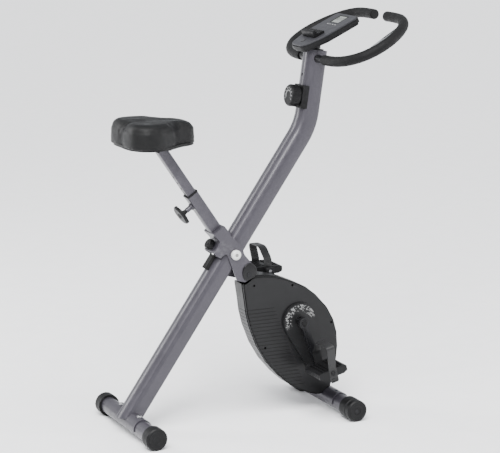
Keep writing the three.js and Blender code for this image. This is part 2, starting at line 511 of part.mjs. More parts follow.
// ---------------------------------------------------------------- crank drive
// Turned piece about a line along Y: profile [radius, y].
const turnY = (c, profile, n = 32) =>
  turned(profile, frame(V(c.x, 0, c.z), V(1, 0, 0), V(0, 0, -1), V(0, 1, 0)), n);
for (const [s, w] of [[-1, 'right'], [1, 'left']]) {
  add(`bearing_${w}`, cut(rodY(hub.x, hub.z, ...order(s * 4, s * 12), 14, 20),
    rodY(hub.x, hub.z, -40, 40, axle_d / 2 + gap)), steel, 0.3, 0.9);
}
const axle_half = arm_y + arm_t - 2;
add('crank_axle', rodY(hub.x, hub.z, -axle_half, axle_half, axle_d / 2), steel, 0.35, 0.9);
function crank(s, w) {                                // the left crank points the other way
  const a = rad(crank_pose + (s > 0 ? 180 : 0)), d = V(Math.cos(a), 0, Math.sin(a)), n = V(-d.z, 0, d.x);
  const end = hub.clone().addScaledVector(d, crank_r);
  const Y = (u, v) => order(s * u, s * v);
  const q = (t, o) => p2(hub.clone().addScaledVector(d, t).addScaledVector(n, o));
  const bar = slab([q(0, 11), q(0, -11), q(crank_r, -9), q(crank_r, 9)], ...Y(arm_y + 1.5, arm_y + arm_t - 1));
  const rib = slab([q(10, 4.5), q(10, -4.5), q(crank_r - 8, -3.5), q(crank_r - 8, 3.5)],
    ...Y(arm_y + arm_t - 1.1, arm_y + arm_t + 1));
  const arm = cut(join(bar, rib, rodY(hub.x, hub.z, ...Y(arm_y, arm_y + arm_t + 2), 16, 24),
    rodY(end.x, end.z, ...Y(arm_y, arm_y + arm_t + 1.2), 12.5, 20)),
  rodY(hub.x, hub.z, ...Y(arm_y - 2, arm_y + arm_t + 5), axle_d / 2 + gap),
  rodY(end.x, end.z, ...Y(arm_y - 2, arm_y + arm_t + 5), pin / 2 + gap, 12));
  add(`crank_${w}`, arm, 0x3b3c3f, 0.5, 0.3);
  return end;
}
const ends = [crank(-1, 'right'), crank(1, 'left')];
const belt_y = 14, belt_w = 7, belt_t = 2.4;
add('belt_pulley', turnY(hub, [[axle_d / 2 + gap, belt_y - 1], [pulley_r - 7, belt_y + 2], [pulley_r - 7, belt_y],
  [pulley_r, belt_y], [pulley_r, belt_y + belt_w], [pulley_r - 7, belt_y + belt_w], [pulley_r - 7, belt_y + belt_w - 2],
  [axle_d / 2 + gap, belt_y + belt_w + 1]], 28), dark, 0.6);
function beltLoop(off) {                              // open loop round both pulleys
  const ra = pulley_r + off, rb = small_r + off;
  return pod(hub, ra, fly, rb, 24);
}
add('drive_belt', cut(slab(beltLoop(0.6 + belt_t), belt_y, belt_y + belt_w),
  slab(beltLoop(0.6), belt_y - 1, belt_y + belt_w + 1)), black, 0.8);
add('flywheel', turnY(fly, [[5 + gap, fly_y - fly_t + 1], [fly_r - 14, fly_y - fly_t + 3], [fly_r - 14, fly_y - fly_t],
  [fly_r, fly_y - fly_t], [fly_r, fly_y], [fly_r - 14, fly_y], [fly_r - 14, fly_y - 3], [5 + gap, fly_y - 1]], 32),
steel, 0.35, 0.9);
add('fly_axle', join(rodY(fly.x, fly.z, fly_y - fly_t, belt_y + belt_w + 1.5, 5),
  rodY(fly.x, fly.z, belt_y - 1, belt_y + belt_w + 1, small_r)), steel, 0.35, 0.9);
// Arc round the flywheel.
const shoeSpan = (a0, a1, r0, r1, n = 9) => {
  const pts = [];
  for (let i = 0; i <= n; i++) pts.push([a0 + (a1 - a0) * i / n, r1]);
  for (let i = n; i >= 0; i--) pts.push([a0 + (a1 - a0) * i / n, r0]);
  return pts.map(([a, r]) => new THREE.Vector2(fly.x + r * Math.cos(rad(a)), fly.z + r * Math.sin(rad(a))));
};
add('magnet_shoe', cut(join(slab(shoeSpan(shoe_a0, shoe_a1, shoeIn, shoeOut), fly_y - fly_t, fly_y),
  rodY(swing.x, swing.z, fly_y - fly_t, fly_y, 7)), rodY(swing.x, swing.z, -60, 20, 3 + gap, 12)), steel, 0.4, 0.8);

// ---------------------------------------------------------------- pedals
for (const [i, s, w] of [[0, -1, 'right'], [1, 1, 'left']]) {
  const e = ends[i], y0 = arm_y + arm_t + 3, y1 = y0 + pedal_w, tip = y1 - 10;
  const Y = (u, v) => order(s * u, s * v);
  add(`spindle_${w}`, join(rodY(e.x, e.z, ...Y(arm_y + 1, tip), pin / 2, 12),
    rodY(e.x, e.z, ...Y(arm_y + arm_t + 1.4 + gap, y0 - 0.6), 8, 6)), steel, 0.35, 0.9);
  const m = side(e.x, e.z, s < 0 ? 14 : 0);
  const l = pedal_l / 2, t = pedal_t / 2;
  const outline = rounded([[-l, -t + 5, 3], [-l + 12, -t, 5], [l - 12, -t, 5], [l, -t + 5, 3], [l, t - 2, 3], [l - 8, t, 3],
    [-l + 8, t, 3], [-l, t - 2, 3]], 2);
  let body = slab(outline, ...Y(y0, y1), m);
  const treads = [-30, -20, -10, 10, 20, 30].map((x) => box(x - 2.5, x + 2.5, ...Y(y0 + 8, y1 - 8), t - 2, t + 2, m));
  const pocket = [-1, 1].map((q) => box(...order(q * 13, q * 34), ...Y(y0 + 9, y1 - 9), -t - 2, -t + 9, m));
  const strapRoom = [y0 - 1, y1 - strap_in].map((y) => box(-strap_w / 2 - gap, strap_w / 2 + gap,
    ...Y(y, y + strap_in + 1), -t - 2, t + 2, m));
  body = cut(body, treads, pocket, strapRoom, rodY(e.x, e.z, ...Y(y0 - 5, y1 - 8), pin / 2 + gap, 12));
  add(`pedal_${w}`, body, dark, 0.55);
  // Strap: up from one side, over the foot, down the other side to a tail.
  const yi = y0 + 1.5, yo = y1 - 1.5, top = strap_rise[w];
  const path = rounded([[yi, -t + 1], [yi + 2, top / 2, 25], [yi + 40, top, 35], [yo + strap_out, top * 0.97, 8],
    [yo, t + 6, 6], [yo, -t - strap_tail]].map(([y, z, q]) => [s * y, z, q]), 6);
  const outer = [], inner = [];
  path.forEach((p, j) => {
    const a = path[Math.max(j - 1, 0)], b = path[Math.min(j + 1, path.length - 1)];
    const d = b.clone().sub(a).normalize();
    outer.push(new THREE.Vector2(p.x - d.y * 1.1, p.y + d.x * 1.1));
    inner.push(new THREE.Vector2(p.x + d.y * 1.1, p.y - d.x * 1.1));
  });
  const across = new THREE.Matrix4().makeBasis(V(0, 1, 0), V(0, 0, 1), V(1, 0, 0));
  add(`strap_${w}`, cut(block([...outer, ...inner.reverse()], -strap_w / 2, strap_w / 2, m.clone().multiply(across)),
    rodY(e.x, e.z, ...Y(y0 - 3, y0 + 5), 6.5, 12)), rubber, 0.7);
}

// ---------------------------------------------------------------- handlebar
const barM = side(onPost(bar_at).x, onPost(bar_at).z, bar_tilt);      // local x forward and up
const loopPts = (() => {
  const w = bar_half, d = bar_deep;
  const half = [[0, 0.2 * w], [0, 0.4 * w], [0.02 * d, 0.6 * w], [0.08 * d, 0.78 * w], [0.2 * d, 0.93 * w],
    [0.36 * d, w], [0.55 * d, 0.99 * w], [0.73 * d, 0.91 * w], [0.89 * d, 0.76 * w], [0.98 * d, 0.56 * w],
    [d, 0.36 * w], [d, 0.155 * w]];
  return [...half.slice().reverse().map(([x, y]) => V(x, -y, 0)), ...half.map(([x, y]) => V(x, y, 0))];
})();
const loop = new THREE.CatmullRomCurve3(loopPts, false, 'centripetal');
const barN = 32;
function barRoute(i0, i1, over = 0) {                 // samples i0 to i1 of the bar's length
  const pts = [], tans = [], q = new THREE.Quaternion().setFromRotationMatrix(barM);
  for (let i = i0; i <= i1; i++) {
    pts.push(loop.getPointAt(i / barN).applyMatrix4(barM));
    tans.push(loop.getTangentAt(i / barN).applyQuaternion(q));
  }
  pts[0].addScaledVector(tans[0], -over);
  pts.at(-1).addScaledVector(tans.at(-1), over);
  return new Route(pts, tans);
}
const p2z = (v) => new THREE.Vector2(v.x, v.y);
const bare = 2;                                       // samples left bare each side of the middle
add('handlebar', cut(sweep(barRoute(0, barN), ring(bar_d / 2, 12)), sweep(barRoute(0, barN, 2), ring(bar_d / 2 - bar_wall, 6))),
  dark, 0.4, 0.6);
const foam_r = bar_d / 2 + gap + foam_t;
for (const [i0, i1, w] of [[0, barN / 2 - bare, 'right'], [barN / 2 + bare, barN, 'left']]) {
  add(`grip_${w}`, cut(sweep(barRoute(i0, i1), ring(foam_r, 12)), sweep(barRoute(i0, i1, 2), ringRound(bar_d / 2 + gap, 10))),
    rubber, 0.85);
}
// Pulse plates: straight inner edge, lying against the inside of each bend.
const inverse = barM.clone().invert();
for (const [i0, i1, w] of [[5, 9, 'right'], [barN - 9, barN - 5, 'left']]) {
  const mids = barRoute(i0, i1).pts.map((p) => p2z(p.clone().applyMatrix4(inverse)));
  const chord = mids[0].clone().sub(mids.at(-1)), inward = new THREE.Vector2(chord.y, -chord.x).normalize();
  if (inward.y * mids[0].y > 0) inward.negate();
  const edgeAt = (p) => p.clone().addScaledVector(inward, foam_r + plate_lip);
  const plan = [...mids, edgeAt(mids.at(-1)), edgeAt(mids[0])];
  if (THREE.ShapeUtils.area(plan) < 0) plan.reverse();
  add(`pulse_plate_${w}`, cut(block(plan, -4, 7, barM), sweep(barRoute(i0 - 1, i1 + 1, 2), ringRound(foam_r + gap, 12))),
    0xd8dadc, 0.15, 1);
}
// Plugs in the ends of the bar.
for (const [i, s, w] of [[0, -1, 'right'], [barN, 1, 'left']]) {
  const r = barRoute(i, i), end = r.pts[0], out = r.tans[0].clone().multiplyScalar(s);
  const along_bar = (a, b, q, n) => rod(end.clone().addScaledVector(out, a), end.clone().addScaledVector(out, b), q, n);
  add(`bar_plug_${w}`, join(along_bar(-12, gap + 0.1, (bar_d / 2 - bar_wall) * 0.86 - gap, 10),
    along_bar(gap, 3, bar_d / 2 + 1, 16)), black, 0.5);
}

// ---------------------------------------------------------------- console
const neckTop = onPost(post_len + neck_h);
const CM = side(neckTop.x, neckTop.z, con_tilt);      // local x forward and up, z out of the screen
const cb = -58, cf = cb + con_l, cw = con_w / 2;
const conPlan = (d) => rounded([[cb + d, -cw * 0.62 + d, 28 - d], [cb + 70, -cw + d, 60], [cf - d, -cw + d, 14 - d / 2],
  [cf - d, cw - d, 14 - d / 2], [cb + 70, cw - d, 60], [cb + d, cw * 0.62 - d, 28 - d]], 4);
const faceZ = con_t - 5, keyX = cb + 26;
const keyHole = (r, z0) => rod(at(CM, keyX, 0, z0), at(CM, keyX, 0, 60), r);
add('console_case', cut(join(block(conPlan(4), 0, 6, CM), block(conPlan(0), 5.9, faceZ, CM)),
  keyHole(7 + gap, faceZ - 7)), black, 0.5);
const lcd = [cf - 50, cf - 12, 24];
add('console_face', cut(block(conPlan(2.5), faceZ + gap, con_t, CM), keyHole(7 + gap, 0),
  box(lcd[0], lcd[1], -lcd[2], lcd[2], -10, 60, CM)), 0x9a9aa0, 0.45);
add('console_lcd', box(lcd[0] + gap, lcd[1] - gap, -lcd[2] + gap, lcd[2] - gap, faceZ + gap, con_t - 0.8, CM), 0xc9cfc8, 0.2);
add('console_key', rod(at(CM, keyX, 0, faceZ - 4), at(CM, keyX, 0, con_t + 1.6), 7), 0x6f7076, 0.5);
const ledge = rounded([[-12, con_t + gap, 2], [22, con_t + gap, 2], [22, con_t + 7, 2], [2, con_t + 8, 3],
  [-4, con_t + 20, 3], [-12, con_t + 20, 4]], 2);
add('phone_ledge', slab(ledge, -36, 36, CM), black, 0.5);
add('console_neck', cut(join(rod(onPost(post_len + gap), onPost(post_len + 3), 26, 20),
  rod(onPost(post_len + 2.9), at(CM, 0, 0, 8), 17, 20)), box(-200, 200, -100, 100, -gap, 200, CM)), black, 0.55);

// ---------------------------------------------------------------- tension knob
const KP = (n0, n1, r, n = 16, r2 = r) => rod(onPost(knob_at, -n0), onPost(knob_at, -n1), r, n, r2);
const KM = side(onPost(knob_at).x, onPost(knob_at).z, post_angle);    // local x up the post, z back
const base_n = tube_d / 2 + 4;
add('knob_base', cut(box(-32, 32, -27, 27, 12, base_n, KM),
  sweep(mainRoute(700, post_len), tubeShape(tube_w + 2 * gap, tube_d + 2 * gap, 7, 24)), KP(0, 90, stem_d / 2 + gap)), black, 0.55);
add('tension_knob', join(KP(12, base_n + 3, stem_d / 2), KP(base_n + gap, base_n + 5, 25, 20),
  KP(base_n + 4.9, base_n + knob_len - 3, knob_d / 2, 20), KP(base_n + knob_len - 3.1, base_n + knob_len, knob_d / 2, 20,
    knob_d / 2 - 3)), black, 0.6);

// Origin: middle of the floor area.
const bounds = new THREE.Box3().setFromObject(bike), middle = bounds.getCenter(new THREE.Vector3());
bike.children.forEach((m) => m.geometry.translate(-middle.x, -middle.y, -bounds.min.z));

export default bike;
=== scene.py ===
# Looks for the folding exercise bike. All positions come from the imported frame, in metres.
import json
import math
import bpy
import bmesh
from mathutils import Vector, Matrix, noise


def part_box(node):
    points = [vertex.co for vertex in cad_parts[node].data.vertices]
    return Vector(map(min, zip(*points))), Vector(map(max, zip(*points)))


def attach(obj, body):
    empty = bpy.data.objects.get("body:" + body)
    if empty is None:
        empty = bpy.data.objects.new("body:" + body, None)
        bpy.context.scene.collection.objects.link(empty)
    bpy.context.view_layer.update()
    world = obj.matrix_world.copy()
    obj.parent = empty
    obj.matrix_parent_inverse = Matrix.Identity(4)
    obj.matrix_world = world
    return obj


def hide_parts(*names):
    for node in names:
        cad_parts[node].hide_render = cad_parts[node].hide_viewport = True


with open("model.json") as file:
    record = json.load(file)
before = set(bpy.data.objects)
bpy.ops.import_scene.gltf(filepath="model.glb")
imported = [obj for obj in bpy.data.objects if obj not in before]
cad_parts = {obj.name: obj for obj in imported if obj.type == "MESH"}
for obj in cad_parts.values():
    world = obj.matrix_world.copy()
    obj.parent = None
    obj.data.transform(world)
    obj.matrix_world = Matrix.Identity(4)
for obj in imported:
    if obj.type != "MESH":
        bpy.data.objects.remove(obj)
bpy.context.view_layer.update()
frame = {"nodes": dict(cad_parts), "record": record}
NODES = frame["nodes"]
rad = math.radians


def mid(node):
    lo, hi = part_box(node)
    return (lo + hi) / 2


HUB, PIVOT = mid("crank_axle"), mid("pivot_bolt")
REAR, FRONT = mid("rear_foot_tube"), mid("front_foot_tube")
FEET = (REAR.x + FRONT.x) / 2

# ------------------------------------------------------------------ materials


class Tree:
    """Short way to write a node tree."""

    def __init__(self, name):
        self.mat = bpy.data.materials.new(name)
        self.mat.use_nodes = True
        self.t = self.mat.node_tree
        self.b = self.t.nodes["Principled BSDF"]
        self.pos = self.add("ShaderNodeTexCoord").outputs["Object"]

    def add(self, kind, **props):
        n = self.t.nodes.new(kind)
        for k, v in props.items():
            setattr(n, k, v)
        return n

    def put(self, socket, v):
        if hasattr(v, "is_linked"):
            self.t.links.new(v, socket)
        else:
            socket.default_value = v

    def math(self, op, *v, clamp=False):
        n = self.add("ShaderNodeMath", operation=op, use_clamp=clamp)
        for s, x in zip(n.inputs, v):
            self.put(s, x)
        return n.outputs[0]

    def noise(self, scale, detail=2.0, rough=0.5, at=None):
        n = self.add("ShaderNodeTexNoise")
        self.put(n.inputs["Vector"], at or self.pos)
        n.inputs["Scale"].default_value = scale
        n.inputs["Detail"].default_value = detail
        n.inputs["Roughness"].default_value = rough
        return n.outputs["Fac"]

    def ramp(self, v, a, b, lo=0.0, hi=1.0):
        n = self.add("ShaderNodeMapRange", interpolation_type="SMOOTHSTEP")
        for s, x in zip(n.inputs, (v, a, b, lo, hi)):
            self.put(s, x)
        return n.outputs[0]

    def mix(self, f, a, b):
        n = self.add("ShaderNodeMix", data_type="RGBA")
        self.put(n.inputs[0], f)
        for s, x in ((n.inputs[6], a), (n.inputs[7], b)):
            self.put(s, x if hasattr(x, "is_linked") else (*x, 1))
        return n.outputs[2]

    def xyz(self):
        n = self.add("ShaderNodeSeparateXYZ")
        self.put(n.inputs[0], self.pos)
        return n.outputs

    def bump(self, height, dist, strength=1.0, under=None):
        n = self.add("ShaderNodeBump")
        n.inputs["Strength"].default_value = strength
        n.inputs["Distance"].default_value = dist
        self.put(n.inputs["Height"], height)
        if under is not None:
            self.put(n.inputs["Normal"], under)
        return n.outputs[0]

    def wear(self):
        """Worn convex edges."""
        g = self.add("ShaderNodeNewGeometry")
        edge = self.ramp(g.outputs["Pointiness"], 0.53, 0.62)
        return self.math("MULTIPLY", edge, self.ramp(self.noise(90, 3), 0.42, 0.62))


def grained(name, color, rough, metal=0.0, grain=900, depth=0.00012, vary=0.14, coat=0.0, wear=None,
            spec=0.5):
    """Colour clouding, fine grain, uneven gloss and worn edges."""
    t = Tree(name)
    cloud = t.ramp(t.noise(14, 4), 0.3, 0.7)
    c = t.mix(cloud, [x * (1 - vary) for x in color], [min(x * (1 + vary), 1) for x in color])
    if wear:
        c = t.mix(t.wear(), c, wear)
    t.put(t.b.inputs["Base Color"], c)
    t.put(t.b.inputs["Roughness"], t.ramp(t.noise(55, 3), 0.3, 0.7, max(rough - 0.07, 0.03), rough + 0.07))
    t.b.inputs["Metallic"].default_value = metal
    t.b.inputs["Specular IOR Level"].default_value = spec
    t.b.inputs["Coat Weight"].default_value = coat
    t.b.inputs["Coat Roughness"].default_value = 0.2
    t.normal = t.bump(t.noise(grain, 2), depth)
    t.put(t.b.inputs["Normal"], t.normal)
    t.color = c
    return t


def frame_paint():
    """Metallic paint: flakes of two sizes under a thin coat."""
    t = grained("frame_paint", (0.04, 0.037, 0.046), 0.38, 0.35, 2600, 0.00003, 0.05, 0.25,
                (0.075, 0.072, 0.082), 0.3)
    v = t.add("ShaderNodeTexVoronoi")
    t.put(v.inputs["Vector"], t.pos)
    v.inputs["Scale"].default_value = 1800
    flake = t.math("GREATER_THAN", v.outputs["Distance"], 0.62)
    t.put(t.b.inputs["Base Color"], t.mix(t.math("MULTIPLY", flake, 0.3), t.color, (0.12, 0.115, 0.13)))
    return t.mat


def housing():
    """Moulded housing: grooved rear part with painted shade darkening the grooves, matt faces, glossier rim,
    dark joint line, speckles round the hub.
    """
    t = grained("housing", (0.0075, 0.0075, 0.008), 0.36, 0, 1500, 0.00006, 0.1, 0.1,
                (0.014, 0.014, 0.015), 0.17)
    x, y, z = t.xyz()
    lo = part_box("cover_right")[0]
    wave = t.math("SINE", t.math("MULTIPLY", z, 2 * math.pi / 0.0105))
    groove = t.ramp(wave, -0.95, -0.35, 1.0, 0.0)
    # Grooves end along a slanting line behind the hub.
    line = t.math("ADD", x, t.math("MULTIPLY", t.math("SUBTRACT", z, HUB.z), 0.42))
    rear = t.ramp(line, HUB.x - 0.062, HUB.x - 0.056, 1.0, 0.0)
    above = t.ramp(z, lo.z + 0.035, lo.z + 0.04)
    band = t.math("MULTIPLY", above, t.ramp(z, HUB.z + 0.045, HUB.z + 0.05, 1.0, 0.0))
    mask = t.math("MULTIPLY", t.math("MULTIPLY", rear, band), groove)
    side = t.math("ABSOLUTE", y)
    face = t.ramp(side, 0.0296, 0.0302)
    joint = t.math("MULTIPLY", t.ramp(side, 0.0280, 0.0286), t.ramp(side, 0.0297, 0.0303, 1.0, 0.0))
    seam = t.ramp(side, 0.0004, 0.0009, 1.0, 0.0)
    # Speckles in the upper part of a ring about the crank.
    dx, dz = t.math("SUBTRACT", x, HUB.x), t.math("SUBTRACT", z, HUB.z)
    r = t.math("SQRT", t.math("ADD", t.math("MULTIPLY", dx, dx), t.math("MULTIPLY", dz, dz)))
    ring = t.math("MULTIPLY", t.ramp(r, 0.026, 0.032), t.ramp(r, 0.047, 0.0485, 1.0, 0.0))
    top = t.ramp(t.math("SUBTRACT", dz, t.math("MULTIPLY", dx, 0.35)), -0.012, 0.004)
    v = t.add("ShaderNodeTexVoronoi", feature="F1")
    t.put(v.inputs["Vector"], t.pos)
    v.inputs["Scale"].default_value = 260
    s = t.add("ShaderNodeSeparateColor")
    t.put(s.inputs[0], v.outputs["Color"])
    chosen = t.math("GREATER_THAN", s.outputs[0], 0.42)
    dots = t.math("MULTIPLY", chosen, t.ramp(v.outputs["Distance"], 0.5, 0.6, 1.0, 0.0))
    near = t.math("GREATER_THAN", side, 0.036)
    speck = t.math("MULTIPLY", t.math("MULTIPLY", ring, top), t.math("MULTIPLY", dots, near))
    # Painted shade: the grooves are coloured near black, standing in for the shade inside them.
    c = t.mix(t.math("MULTIPLY", mask, 0.95), t.color, (0.0005, 0.0005, 0.0005))
    c = t.mix(t.math("MAXIMUM", joint, seam), c, (0.0008, 0.0008, 0.0008))
    c = t.mix(speck, c, (0.17, 0.17, 0.17))
    t.put(t.b.inputs["Base Color"], c)
    gloss = t.ramp(t.noise(40, 3), 0.3, 0.7, 0.27, 0.36)
    t.put(t.b.inputs["Roughness"], t.math("ADD", gloss, t.math("MULTIPLY", face, 0.1)))
    t.put(t.b.inputs["Normal"], t.bump(t.math("MULTIPLY", mask, -1.0), 0.0016, 0.9, t.normal))
    return t.mat


def foam():
    t = grained("grip_foam", (0.0042, 0.0042, 0.0045), 0.6, 0, 1400, 0.0002, 0.08, spec=0.14)
    v = t.add("ShaderNodeTexVoronoi")
    t.put(v.inputs["Vector"], t.pos)
    v.inputs["Scale"].default_value = 900
    t.put(t.b.inputs["Normal"], t.bump(v.outputs["Distance"], 0.0003, 0.6, t.normal))
    t.b.inputs["Sheen Weight"].default_value = 0.02
    return t.mat


def leather():
    """Imitation leather: pebbled grain, fine creases with painted shade in them, soft sheen."""
    t = grained("saddle_cover", (0.005, 0.005, 0.0053), 0.42, 0, 700, 0.00008, 0.06, spec=0.18)
    v = t.add("ShaderNodeTexVoronoi", feature="DISTANCE_TO_EDGE")
    t.put(v.inputs["Vector"], t.pos)
    v.inputs["Scale"].default_value = 520
    crease = t.ramp(v.outputs["Distance"], 0.0, 0.12)
    n1 = t.bump(crease, 0.00022, 0.55, t.normal)
    t.put(t.b.inputs["Normal"], t.bump(t.noise(38, 4), 0.0003, 0.3, n1))
    # Painted shade: the creases are coloured darker than the grain between them.
    t.put(t.b.inputs["Base Color"], t.mix(crease, (0.003, 0.003, 0.003), t.color))
    t.b.inputs["Sheen Roughness"].default_value = 0.4
    return t.mat


def steel(name, color, rough, scale=260, stretch=(1, 1, 1)):
    """Metal with fine drawn lines."""
    t = grained(name, color, rough, 1.0, 1500, 0.00002, 0.08)
    m = t.add("ShaderNodeMapping")
    t.put(m.inputs["Vector"], t.pos)
    m.inputs["Scale"].default_value = stretch
    lines = t.noise(scale, 3, 0.6, m.outputs[0])
    t.put(t.b.inputs["Roughness"], t.ramp(lines, 0.3, 0.7, max(rough - 0.06, 0.03), rough + 0.08))
    t.put(t.b.inputs["Normal"], t.bump(lines, 0.00003, 0.5, t.normal))
    return t.mat


def pivot_white():
    """White cap, its middle grey."""
    t = grained("cap_white", (0.6, 0.6, 0.59), 0.32, 0, 900, 0.00005, 0.03, 0.2)
    x, _, z = t.xyz()
    dx, dz = t.math("SUBTRACT", x, PIVOT.x), t.math("SUBTRACT", z, PIVOT.z)
    r = t.math("SQRT", t.math("ADD", t.math("MULTIPLY", dx, dx), t.math("MULTIPLY", dz, dz)))
    t.put(t.b.inputs["Base Color"], t.mix(t.ramp(r, 0.0045, 0.0052, 1.0, 0.0), t.color, (0.17, 0.165, 0.16)))
    step = t.math("ADD", t.ramp(r, 0.0045, 0.0055), t.ramp(r, 0.0085, 0.0095, 0.6, 0.0))
    t.put(t.b.inputs["Normal"], t.bump(step, 0.0006, 0.8, t.normal))
    return t.mat


def display():
    """Clear window over a grey-green display."""
    return grained("display", (0.17, 0.18, 0.17), 0.12, 0, 2000, 0.00001, 0.04, 0.6).mat


MATS = {
    "frame_paint": frame_paint(),
    "dark_metal": grained("dark_metal", (0.007, 0.007, 0.008), 0.38, 0.1, 1300, 0.00006, 0.12, 0.1,
                          (0.014, 0.014, 0.015), 0.17).mat,
    "foot_plastic": grained("foot_plastic", (0.005, 0.005, 0.0053), 0.5, 0, 1100, 0.0001, 0.12, 0,
                            (0.011, 0.011, 0.012), 0.17).mat,
    "steel": steel("steel", (0.3, 0.3, 0.31), 0.32),
    "cap_white": pivot_white(),
    "black_plastic": grained("black_plastic", (0.004, 0.004, 0.0043), 0.42, 0, 1200, 0.0001, 0.12, 0,
                             (0.009, 0.009, 0.01), 0.17).mat,
    "housing": housing(),
    "crank_paint": grained("crank_paint", (0.007, 0.007, 0.008), 0.34, 0.1, 1500, 0.00005, 0.1, 0.1,
                           (0.014, 0.014, 0.015), 0.17).mat,
    "pedal_plastic": grained("pedal_plastic", (0.0065, 0.0065, 0.007), 0.45, 0, 900, 0.0001, 0.14, 0,
                             (0.01, 0.01, 0.011), 0.17).mat,
    "strap_rubber": grained("strap_rubber", (0.013, 0.013, 0.0135), 0.42, 0, 800, 0.0001, 0.12,
                            spec=0.3).mat,
    "stop_rubber": grained("stop_rubber", (0.004, 0.004, 0.004), 0.7, 0, 700, 0.0002, 0.15, spec=0.25).mat,
    "grip_foam": foam(),
    "pulse_chrome": steel("pulse_chrome", (0.86, 0.86, 0.87), 0.1, 180, (1, 6, 1)),
    "saddle_cover": leather(),
    "console_grey": grained("console_grey", (0.03, 0.03, 0.034), 0.42, 0.1, 1500, 0.00006, 0.08,
                            spec=0.3).mat,
    "console_light": grained("console_light", (0.03, 0.03, 0.032), 0.4, 0, 1500, 0.00006, 0.08, spec=0.3).mat,
    "display": display(),
}
MATS["housing_plain"] = grained("moulded_black", (0.006, 0.006, 0.0065), 0.34, 0, 1300, 0.00008, 0.1, 0.1,
                                (0.011, 0.011, 0.012), 0.17).mat
PRINT = grained("light_print", (0.28, 0.28, 0.28), 0.5, 0, 2000, 0.00002, 0.05).mat
INK = grained("dark_print", (0.03, 0.035, 0.03), 0.3, 0, 2000, 0.00001, 0.05).mat
# Near-black colour painted as the shade seen in the strap's slots.
SLOT_SHADE = grained("painted_slot_shade", (0.003, 0.003, 0.003), 0.8, 0, 900, 0.0001, 0.1).mat

for sub in frame["record"]["subparts"]:
    o = NODES[sub["node"]]
    o.data.materials.clear()
    o.data.materials.append(MATS[sub["material_slot"]])
    for attr in [a for a in o.data.attributes if a.name == "custom_normal"]:
        o.data.attributes.remove(attr)
    o.data.polygons.foreach_set("use_smooth", [True] * len(o.data.polygons))
    weld = o.modifiers.new("weld", "WELD")
    weld.merge_threshold = 2e-5
    lo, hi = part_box(sub["node"])
    bevel = o.modifiers.new("edges", "BEVEL")
    bevel.width = min(0.0007, 0.06 * min(hi - lo))
    bevel.segments = 2
    bevel.limit_method = "ANGLE"
    bevel.angle_limit = rad(34)
    bevel.harden_normals = True


# ------------------------------------------------------------------ piece helpers


def piece(name, bm, material, body):
    """Mesh made into an object that rides on a body."""
    me = bpy.data.meshes.new(name)
    bmesh.ops.recalc_face_normals(bm, faces=bm.faces)
    bm.to_mesh(me)
    bm.free()
    o = bpy.data.objects.new(name, me)
    bpy.context.scene.collection.objects.link(o)
    me.materials.append(material)
    me.polygons.foreach_set("use_smooth", [True] * len(me.polygons))
    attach(o, body)
    return o


def soften(o, width, segments=2, angle=34):
    m = o.modifiers.new("edges", "BEVEL")
    m.width, m.segments = width, segments
    m.limit_method, m.angle_limit = "ANGLE", rad(angle)
    m.harden_normals = True
    return o


def block(bm, m, x0, x1, y0, y1, z0, z1):
    """Box between two corners, in the frame m."""
    v = [bm.verts.new(m @ Vector((x, y, z))) for z in (z0, z1) for y in (y0, y1) for x in (x0, x1)]
    for f in ((0, 1, 3, 2), (4, 5, 7, 6), (0, 1, 5, 4), (2, 3, 7, 6), (0, 2, 6, 4), (1, 3, 7, 5)):
        bm.faces.new([v[i] for i in f])


def rounded_bar(bm, a, b, r, n=10):
    """Rod with domed ends from a to b."""
    d = b - a
    q = d.to_track_quat("Z", "Y").to_matrix().to_4x4()
    prof = [(r * math.sin(rad(t)), -r * 0.6 * math.cos(rad(t))) for t in (20, 50, 90)]
    prof += [(w, d.length - h) for w, h in reversed(prof)]
    skin(bm, [circle(bm, w, n, lambda u, v: a + q @ Vector((u, v, h))) for w, h in prof])


def circle(bm, r, n, place):
    """Ring of n vertices with radius r, each set by place(across, up)."""
    turns = [2 * math.pi * i / n for i in range(n)]
    return [bm.verts.new(place(r * math.cos(a), r * math.sin(a))) for a in turns]


def skin(bm, rings, close=True):
    n = len(rings[0])
    for r0, r1 in zip(rings, rings[1:]):
        for i in range(n):
            bm.faces.new((r0[i], r0[(i + 1) % n], r1[(i + 1) % n], r1[i]))
    if close:
        bm.faces.new(rings[0])
        bm.faces.new(rings[-1])


def spline(pts, n, closed=False):
    """Centripetal Catmull-Rom through pts, n even steps along its length."""
    pts = [Vector(p) for p in pts]
    k = len(pts)
    if closed:
        P = [pts[-1], *pts, pts[0], pts[1]]
    else:
        P = [2 * pts[0] - pts[1], *pts, 2 * pts[-1] - pts[-2]]
    fine = []
    for i in range(k if closed else k - 1):
        p0, p1, p2, p3 = P[i:i + 4]
        d0, d1, d2 = (max((b - a).length, 1e-9) ** 0.5 for a, b in ((p0, p1), (p1, p2), (p2, p3)))
        t1 = ((p1 - p0) / d0 - (p2 - p0) / (d0 + d1) + (p2 - p1) / d1) * d1
        t2 = ((p2 - p1) / d1 - (p3 - p1) / (d1 + d2) + (p3 - p2) / d2) * d1
        for j in range(24):
            t = j / 24
            fine.append(p1 + t1 * t + (3 * (p2 - p1) - 2 * t1 - t2) * t * t
                        + (2 * (p1 - p2) + t1 + t2) * t ** 3)
    fine.append(P[k] if not closed else pts[0])
    run = [0.0]
    for a, b in zip(fine, fine[1:]):
        run.append(run[-1] + (b - a).length)
    out, j = [], 0
    for i in range(n + (0 if closed else 1)):
        s = run[-1] * i / n
        while j < len(run) - 2 and run[j + 1] < s:
            j += 1
        f = (s - run[j]) / max(run[j + 1] - run[j], 1e-12)
        out.append(fine[j].lerp(fine[j + 1], f))
    return out


def side_frame(o, angle):
    """Local x along angle in the side plane, y to the left, z at right angles."""
    a = rad(angle)
    m = Matrix(((math.cos(a), 0, -math.sin(a)), (0, 1, 0), (math.sin(a), 0, math.cos(a)))).to_4x4()
    m.translation = o
    return m


